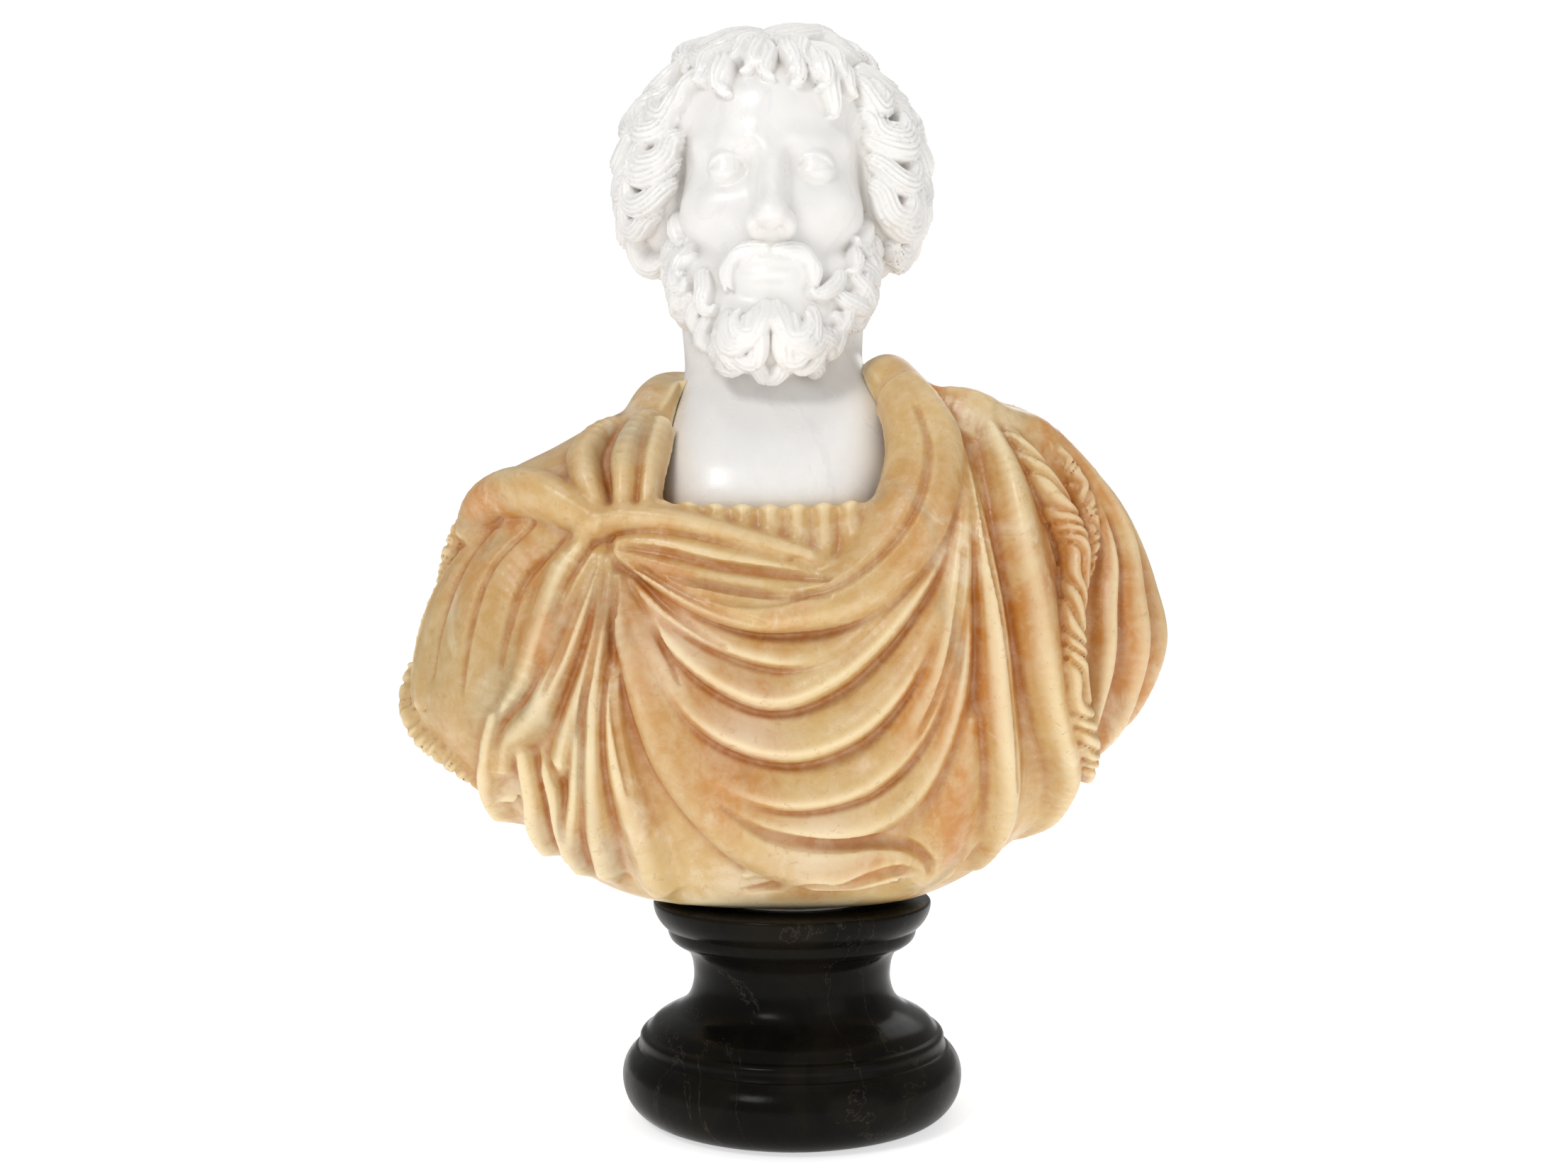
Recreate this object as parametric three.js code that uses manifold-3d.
// Life-size portrait bust in three stones: a white marble head with its neck and chest cut as one
// block, an alabaster draped torso hollowed from behind, and a turned black marble socle.
// A threaded rod bonded into the torso drops through the socle and is held by a nut underneath, so the
// bust can be turned on its socle. A dowel in resin holds the head in the torso's socket.
// Units are millimetres, +Z up. The origin is on the floor, on the axis of the socle.
import * as THREE from "three";
import { mergeVertices } from "three/addons/utils/BufferGeometryUtils.js";
import Module from "manifold-3d";

const wasm = await Module();
wasm.setup();

// Driving dimensions.
const FELT = 2; // felt disc under the socle
const SOCLE_TOP = 159; // height of the socle's upper face
const BEARING = 2; // plastic disc that the torso turns on
const TORSO_FOOT = SOCLE_TOP + BEARING;
const LEFT_TIP = -290; // greatest reach of the cloth to either side
const RIGHT_TIP = 282;
const HALF_DEPTH = 138; // chest and back reach this far from the axis
const HEAD_X = -15; // the head stands a little to one side of the socle's axis
const SOCKET_FLOOR = 420; // bottom of the socket that takes the head
const MORTAR = 2; // bed of mortar under the head
const TENON_FOOT = SOCKET_FLOOR + MORTAR;
const COLLAR_TOP = 560;
const CROWN = 817;
const JOINT_GAP = 0.6; // gap between the head's block and the walls of its socket

const ROD_R = 8; // M16 threaded rod
const ROD_FOOT = 7;
const ROD_TOP = 290;
const SOCLE_BORE_R = 10;
const COUNTERBORE_R = 28;
const COUNTERBORE_TOP = 37;
const GROUT_R = 12; // hole in the torso for the rod and its resin
const DOWEL_Y = -12;
const DOWEL_R = 6;
const DOWEL_FOOT = 362;
const DOWEL_TOP = 482;
const DOWEL_HOLE_R = 9;
const FIT = 0.3; // running gap round metal pieces
const BEARING_R = 60;
const WASHER_R = 25;
const WASHER_FOOT = 34;
const SPRING_WASHER_R = 18;
const SPRING_WASHER_FOOT = 30.3;
const NUT_FOOT = 17;
const NUT_TOP = 30;
const LOCK_NUT_FOOT = 8.7;
const LOCK_NUT_TOP = 16.7;

const ROUND = 40; // sides of large turned pieces
const SMALL_ROUND = 20; // sides of fasteners

const stone = (color, roughness) =>
  new THREE.MeshStandardMaterial({ color, roughness, metalness: 0 });
const materials = {
  white_marble: stone(0xece9e4, 0.35),
  alabaster: stone(0xd9a866, 0.4),
  black_marble: stone(0x14110f, 0.2),
  steel: new THREE.MeshStandardMaterial({ color: 0x9a9c9e, roughness: 0.4, metalness: 1 }),
  resin: stone(0xb9a98a, 0.6),
  mortar: stone(0xd8d4cb, 0.9),
  nylon: stone(0xe6e2d6, 0.5),
  felt: stone(0x23291f, 0.95),
};

// Geometry helpers.

function solidOf(geometry) {
  const bare = geometry.clone();
  bare.deleteAttribute("normal");
  bare.deleteAttribute("uv");
  const merged = mergeVertices(bare, 1e-3);
  return new wasm.Manifold(
    new wasm.Mesh({
      numProp: 3,
      vertProperties: merged.attributes.position.array,
      triVerts: new Uint32Array(merged.index.array),
    }),
  );
}

function geometryOf(solid) {
  const made = solid.getMesh();
  const geometry = new THREE.BufferGeometry();
  geometry.setAttribute("position", new THREE.BufferAttribute(made.vertProperties, 3));
  geometry.setIndex(new THREE.BufferAttribute(made.triVerts, 1));
  geometry.computeVertexNormals();
  return geometry;
}

// A body of revolution about Z from [radius, height] points.
function turned(profile, sides) {
  const points = profile.map(([r, z]) => new THREE.Vector2(r, z));
  return new THREE.LatheGeometry(points, sides).rotateX(Math.PI / 2);
}

const rod = (radius, foot, top) =>
  turned([[0, foot], [radius, foot], [radius, top], [0, top]], SMALL_ROUND);

const ring = (inner, outer, foot, top, sides = SMALL_ROUND) =>
  turned([[inner, foot], [outer, foot], [outer, top], [inner, top], [inner, foot]], sides);

const ellipsoid = (centre, radii, columns = 28, rows = 18) =>
  new THREE.SphereGeometry(1, columns, rows)
    .rotateX(Math.PI / 2)
    .scale(...radii)
    .translate(...centre);

// Straight-line reading of a table of rows [height, value, value, ...], by height.
function at(table, z) {
  const last = table.length - 1;
  if (z <= table[0][0]) return table[0].slice(1);
  if (z >= table[last][0]) return table[last].slice(1);
  const k = table.findIndex((row) => row[0] > z) - 1;
  const share = (z - table[k][0]) / (table[k + 1][0] - table[k][0]);
  return table[k].slice(1).map((v, i) => v + share * (table[k + 1][i + 1] - v));
}

const span = (low, high, count) =>
  Array.from({ length: count + 1 }, (_, i) => low + ((high - low) * i) / count);

// Turns round a section, once round from the +X side, with more of them across the front.
const turns = (back, front) => [
  ...span(0, Math.PI, back).slice(0, -1),
  ...span(Math.PI, 2 * Math.PI, front).slice(0, -1),
];

// The average of a ring of points, given as a flat list.
function middleOf(ringPoints) {
  const count = ringPoints.length / 3;
  const middle = [0, 0, 0];
  ringPoints.forEach((value, k) => {
    middle[k % 3] += value / count;
  });
  return middle;
}

const signedPower = (value, power) => Math.sign(value) * Math.abs(value) ** power;

// A solid through level sections. A section is [left, right, front, back], the x and y that it
// reaches, as a superellipse whose corners are squarer for a larger power.
function lofted(heights, sectionAt, power, around, shape = (p) => p) {
  const columns = around.length;
  const position = [];
  const index = [];
  for (const z of heights) {
    const [left, right, front, back] = sectionAt(z);
    for (const turn of around) {
      const c = signedPower(Math.cos(turn), 2 / power);
      const s = signedPower(Math.sin(turn), 2 / power);
      const x = (left + right) / 2 + (c * (right - left)) / 2;
      const middle = Math.min(back, Math.max(front, 0));
      const y = middle + (s < 0 ? s * (middle - front) : s * (back - middle));
      position.push(...shape([x, y, z]));
    }
  }
  for (let j = 0; j < heights.length - 1; j++)
    for (let i = 0; i < columns; i++) {
      const a = j * columns + i;
      const b = j * columns + ((i + 1) % columns);
      index.push(a, b, b + columns, a, b + columns, a + columns);
    }
  for (const row of [0, heights.length - 1]) {
    const start = row * columns;
    const centre = position.length / 3;
    position.push(...middleOf(position.slice(3 * start, 3 * (start + columns))));
    for (let i = 0; i < columns; i++) {
      const a = start + i;
      const b = start + ((i + 1) % columns);
      index.push(...(row === 0 ? [centre, b, a] : [centre, a, b]));
    }
  }
  const geometry = new THREE.BufferGeometry();
  geometry.setAttribute("position", new THREE.Float32BufferAttribute(position, 3));
  geometry.setIndex(index);
  return geometry;
}

// The torso's outer form: [height, left, right, front, back].
const TORSO = [
  [TORSO_FOOT, -112, 96, -74, 66],
  [168, -142, 120, -96, 72],
  [183, -172, 150, -108, 82],
  [205, -198, 178, -116, 94],
  [226, -222, 202, -122, 104],
  [247, -238, 216, -127, 112],
  [268, -262, 232, -131, 116],
  [290, -285, 254, -134, 120],
  [312, LEFT_TIP, 268, -136, 124],
  [353, -279, RIGHT_TIP, -HALF_DEPTH, 130],
  [390, -268, 272, -137, HALF_DEPTH],
  [438, -253, 255, -130, 137],
  [470, -234, 238, -120, 130],
  [494, -190, 216, -108, 120],
  [512, -158, 196, -98, 110],
  [526, -128, 160, -86, 102],
  [540, -108, 112, -74, 98],
  [550, -94, 86, -66, 94],
  [COLLAR_TOP, -80, 66, -58, 88],
];

// The head's block below the chin: chest, neck and the part inside the beard.
const NECK = [
  [TENON_FOOT, -84, 60, -84, 40],
  [450, -97, 71, -98, 44],
  [490, -94, 70, -80, 50],
  [525, -84, 60, -56, 60],
  [550, -79, 56, -46, 62],
  [640, -76, 52, -42, 62],
];

// A fold of cloth seen from the front: a path of [x, z] points with a rise and a half width.
const FOLDS = [
  {
    rise: 16,
    half: 34,
    path: [[72, 540], [116, 500], [118, 440], [84, 392], [20, 366], [-50, 372], [-122, 420]],
  },
  {
    rise: 11,
    half: 22,
    path: [[-126, 420], [-74, 346], [-8, 310], [64, 326], [112, 388], [132, 470]],
  },
  { rise: 11, half: 22, path: [[-128, 416], [-80, 300], [-10, 258], [72, 272], [128, 352]] },
  { rise: 13, half: 24, path: [[-130, 418], [-114, 306], [-74, 240], [-20, 208], [92, 202]] },
  { rise: 13, half: 24, path: [[146, 510], [160, 420], [162, 330], [146, 210]] },
  { rise: 14, half: 26, path: [[180, 490], [222, 420], [226, 340], [200, 240]] },
  { rise: 11, half: 24, path: [[-140, 418], [-170, 340], [-178, 230]] },
  { rise: 13, half: 22, path: [[-136, 426], [-176, 462], [-216, 462], [-244, 430]] },
  { rise: 12, half: 34, path: [[-232, 420], [-246, 320]] },
];

function distanceToPath(x, z, path) {
  let best = Infinity;
  for (let k = 0; k < path.length - 1; k++) {
    const [ax, az] = path[k];
    const [bx, bz] = path[k + 1];
    const ux = bx - ax;
    const uz = bz - az;
    const along = ((x - ax) * ux + (z - az) * uz) / (ux * ux + uz * uz);
    const t = Math.min(1, Math.max(0, along));
    best = Math.min(best, Math.hypot(x - ax - t * ux, z - az - t * uz));
  }
  return best;
}

// Lowers the front of the torso between the folds, so that the folds stand at the full form.
function foldedFront([x, y, z]) {
  if (y >= 0 || z <= TORSO_FOOT) return [x, y, z];
  const depth = 13;
  let rise = 0;
  for (const fold of FOLDS) {
    const near = distanceToPath(x, z, fold.path) / fold.half;
    if (near < 1) rise = Math.max(rise, fold.rise * (1 - near * near) ** 2);
  }
  const facing = Math.min(1, -y / 60);
  return [x, y + facing * Math.max(0, depth - rise), z];
}

// The hollow behind the torso, open to the back, with a round arch at its top.
function hollow() {
  const wall = 34;
  const foot = 196;
  const top = 408;
  const sectionAt = (z) => {
    const [left, right, front] = at(TORSO, z);
    const arch = Math.sqrt(Math.max(0.02, 1 - Math.max(0, (z - 330) / (top - 328)) ** 2));
    return [(left + wall) * arch, (right - wall) * arch, (front + wall) * arch, 260];
  };
  return lofted(span(foot, top, 14), sectionAt, 2.6, turns(20, 20));
}

// The pillar that carries the neck down to the socle behind the chest.
function pillar() {
  const sections = [
    [TORSO_FOOT, -56, 56, -60, 64],
    [226, -38, 38, -80, 60],
    [360, -42, 38, -90, 66],
    [416, -60, 44, -90, 92],
  ];
  return lofted(sections.map((row) => row[0]), (z) => at(sections, z), 3.4, turns(12, 12));
}

// Cuts away the cloth in front of the chest, above the tunic's straight upper edge.
function neckline() {
  const outline = new THREE.Shape();
  outline.moveTo(-93, 448);
  outline.lineTo(62, 452);
  outline.quadraticCurveTo(84, 500, 58, 540);
  outline.lineTo(58, 640);
  outline.lineTo(-80, 640);
  outline.lineTo(-80, 530);
  outline.quadraticCurveTo(-104, 496, -93, 448);
  const cutter = new THREE.ExtrudeGeometry(outline, {
    depth: 190,
    bevelEnabled: false,
    curveSegments: 8,
  });
  return cutter.rotateX(Math.PI / 2).translate(0, -20, 0);
}

const neckHeights = NECK.map((row) => row[0]);
const neckBlock = (grow) =>
  lofted(
    neckHeights,
    (z) => {
      const [left, right, front, back] = at(NECK, z);
      return [left - grow, right + grow, front - grow, back + grow];
    },
    2.4,
    turns(16, 20),
  );

// A pair of masses on both sides of the head, as [centre, radii].
const pair = (x, y, z, radii) => [-x, x].map((side) => [[HEAD_X + side, y, z], radii]);

// The head's masses as [centre, radii], each grown by the same amount all round.
const headMasses = (grow) =>
  [
    [[HEAD_X, 24, 716], [103, 106, CROWN - 716]], // skull with its curls
    [[HEAD_X, -22, 684], [71, 76, 112]], // face
    [[HEAD_X, -20, 752], [86, 82, 44]], // hair above the forehead
    ...pair(86, 2, 712, [31, 54, 46]), // side curls
    ...pair(80, 0, 664, [35, 46, 42]),
    [[HEAD_X, -34, 622], [80, 66, 50]], // beard on the cheeks
    ...pair(21, -58, 584, [43, 48, 50]), // two lobes of beard on the chin
    ...pair(15, -94, 634, [20, 14, 9]), // moustache
    ...pair(30, -80, 702, [22, 16, 8]), // brows
    ...pair(31, -78, 686, [14, 14, 10]), // eyes
  ].map(([centre, radii]) => solidOf(ellipsoid(centre, radii.map((r) => r + grow), 20, 12)));

// The nose, narrow at the brow and wider at its tip, as a solid through level sections.
function nose() {
  const sections = [
    [646, -11, 11, -98, -70],
    [652, -16, 16, -116, -70],
    [660, -14, 14, -122, -70],
    [676, -9, 9, -113, -70],
    [700, -8, 8, -100, -70],
    [712, -10, 10, -92, -70],
  ];
  const sectionAt = (z) => {
    const [left, right, front, back] = at(sections, z);
    return [HEAD_X + left, HEAD_X + right, front, back];
  };
  return lofted(sections.map((row) => row[0]), sectionAt, 2.2, turns(6, 12));
}

function torso() {
  const heights = [...span(TORSO_FOOT, 176, 3), ...span(188, COLLAR_TOP, 31)];
  const outer = solidOf(lofted(heights, (z) => at(TORSO, z), 2.25, turns(26, 60), foldedFront));
  const socket = solidOf(neckBlock(JOINT_GAP).translate(0, 0, -MORTAR));
  const clear = headMasses(4).reduce((sum, mass) => sum.add(mass), solidOf(neckBlock(JOINT_GAP)));
  const dowelHole = rod(DOWEL_HOLE_R, DOWEL_FOOT - 2, SOCKET_FLOOR + 5);
  return outer
    .subtract(solidOf(hollow()))
    .add(solidOf(pillar()))
    .subtract(socket)
    .subtract(clear)
    .subtract(solidOf(neckline()))
    .subtract(solidOf(rod(GROUT_R, TORSO_FOOT - 5, ROD_TOP + 4)))
    .subtract(solidOf(dowelHole.translate(HEAD_X, DOWEL_Y, 0)));
}

function head() {
  const whole = headMasses(0).reduce((sum, mass) => sum.add(mass), solidOf(neckBlock(0)));
  const dowelHole = rod(DOWEL_HOLE_R, TENON_FOOT - 5, DOWEL_TOP + 2);
  return whole.add(solidOf(nose())).subtract(solidOf(dowelHole.translate(HEAD_X, DOWEL_Y, 0)));
}

// Points along a smooth curve through the given [radius, height] points.
function curved(pieces, ...through) {
  const curve = new THREE.SplineCurve(through.map(([r, z]) => new THREE.Vector2(r, z)));
  return curve.getPoints(pieces).map(({ x, y }) => [x, y]);
}

// The socle's turned outline from the foot up, ending at the bore.
function socle() {
  const torus = [[106, FELT], [119.5, 11], [126, 29], [121.8, 44], [112.8, 57]];
  const waist = [[111.6, 60], [102, 69.5], [88, 76.5], [76, 88], [73.1, 105], [77, 120], [86.5, 127]];
  const bead = [[87.5, 127.6], [91.6, 132], [92.6, 139]];
  const ovolo = [[95.5, 141], [100.6, 147.5], [103.6, SOCLE_TOP]];
  const outline = [
    [COUNTERBORE_R, FELT],
    ...curved(12, ...torus),
    ...curved(16, ...waist),
    ...curved(4, ...bead),
    ...curved(4, ...ovolo),
    [SOCLE_BORE_R, SOCLE_TOP],
    [SOCLE_BORE_R, COUNTERBORE_TOP],
    [COUNTERBORE_R, COUNTERBORE_TOP],
    [COUNTERBORE_R, FELT],
  ];
  return turned(outline, ROUND);
}

function hexNut(foot, top) {
  const acrossFlats = 24;
  const corner = acrossFlats / Math.sqrt(3);
  const outline = new THREE.Shape();
  for (let k = 0; k < 6; k++) {
    const turn = (k * Math.PI) / 3;
    outline[k ? "lineTo" : "moveTo"](corner * Math.cos(turn), corner * Math.sin(turn));
  }
  const hole = new THREE.Path();
  hole.absarc(0, 0, ROD_R + FIT, 0, 2 * Math.PI, true);
  outline.holes.push(hole);
  const nut = new THREE.ExtrudeGeometry(outline, {
    depth: top - foot,
    bevelEnabled: false,
    curveSegments: 12,
  });
  return nut.translate(0, 0, foot);
}

// The bed of mortar, a little smaller than the head's foot, with a hole for the dowel.
function mortarBed() {
  const inset = 4;
  const [left, right, front, back] = at(NECK, TENON_FOOT);
  const outline = [left + inset, right - inset, front + inset, back - inset];
  const plate = lofted([SOCKET_FLOOR, TENON_FOOT], () => outline, 2.4, turns(16, 16));
  const hole = rod(DOWEL_HOLE_R, SOCKET_FLOOR - 5, TENON_FOOT + 5).translate(HEAD_X, DOWEL_Y, 0);
  return geometryOf(solidOf(plate).subtract(solidOf(hole)));
}

// A coned spring washer, flattened to its working height.
function springWasher() {
  const inner = ROD_R + FIT;
  const cone = 1.2; // how much higher the washer stands at its hole
  const thick = 2.2;
  const foot = SPRING_WASHER_FOOT;
  const outline = [
    [inner, foot + cone],
    [SPRING_WASHER_R, foot],
    [SPRING_WASHER_R, foot + thick],
    [inner, foot + cone + thick],
    [inner, foot + cone],
  ];
  return turned(outline, SMALL_ROUND);
}

const bust = new THREE.Group();

function place(name, geometry, material) {
  const mesh = new THREE.Mesh(geometry, materials[material]);
  mesh.name = name;
  bust.add(mesh);
}

const overDowel = (geometry) => geometry.translate(HEAD_X, DOWEL_Y, 0);

place("head", geometryOf(head()), "white_marble");
place("torso", geometryOf(torso()), "alabaster");
place("socle", socle(), "black_marble");
place("fixing_rod", rod(ROD_R, ROD_FOOT, ROD_TOP), "steel");
place("rod_resin", ring(ROD_R + FIT, GROUT_R - FIT, TORSO_FOOT + 6, ROD_TOP), "resin");
place(
  "bearing_disc",
  ring(SOCLE_BORE_R + 2, BEARING_R, SOCLE_TOP + FIT, TORSO_FOOT - FIT, ROUND),
  "nylon",
);
place("washer", ring(ROD_R + FIT, WASHER_R, WASHER_FOOT, COUNTERBORE_TOP - FIT), "steel");
place("spring_washer", springWasher(), "steel");
place("nut", hexNut(NUT_FOOT, NUT_TOP), "steel");
place("lock_nut", hexNut(LOCK_NUT_FOOT, LOCK_NUT_TOP), "steel");
place("head_dowel", overDowel(rod(DOWEL_R, DOWEL_FOOT, DOWEL_TOP)), "steel");
place(
  "dowel_resin",
  overDowel(ring(DOWEL_R + FIT, DOWEL_HOLE_R - FIT, DOWEL_FOOT + 2, DOWEL_TOP - 2)),
  "resin",
);
place("mortar_bed", mortarBed(), "mortar");
place("felt_base", turned([[0, 0], [100, 0], [100, FELT - FIT], [0, FELT - FIT]], ROUND), "felt");

export default bust;
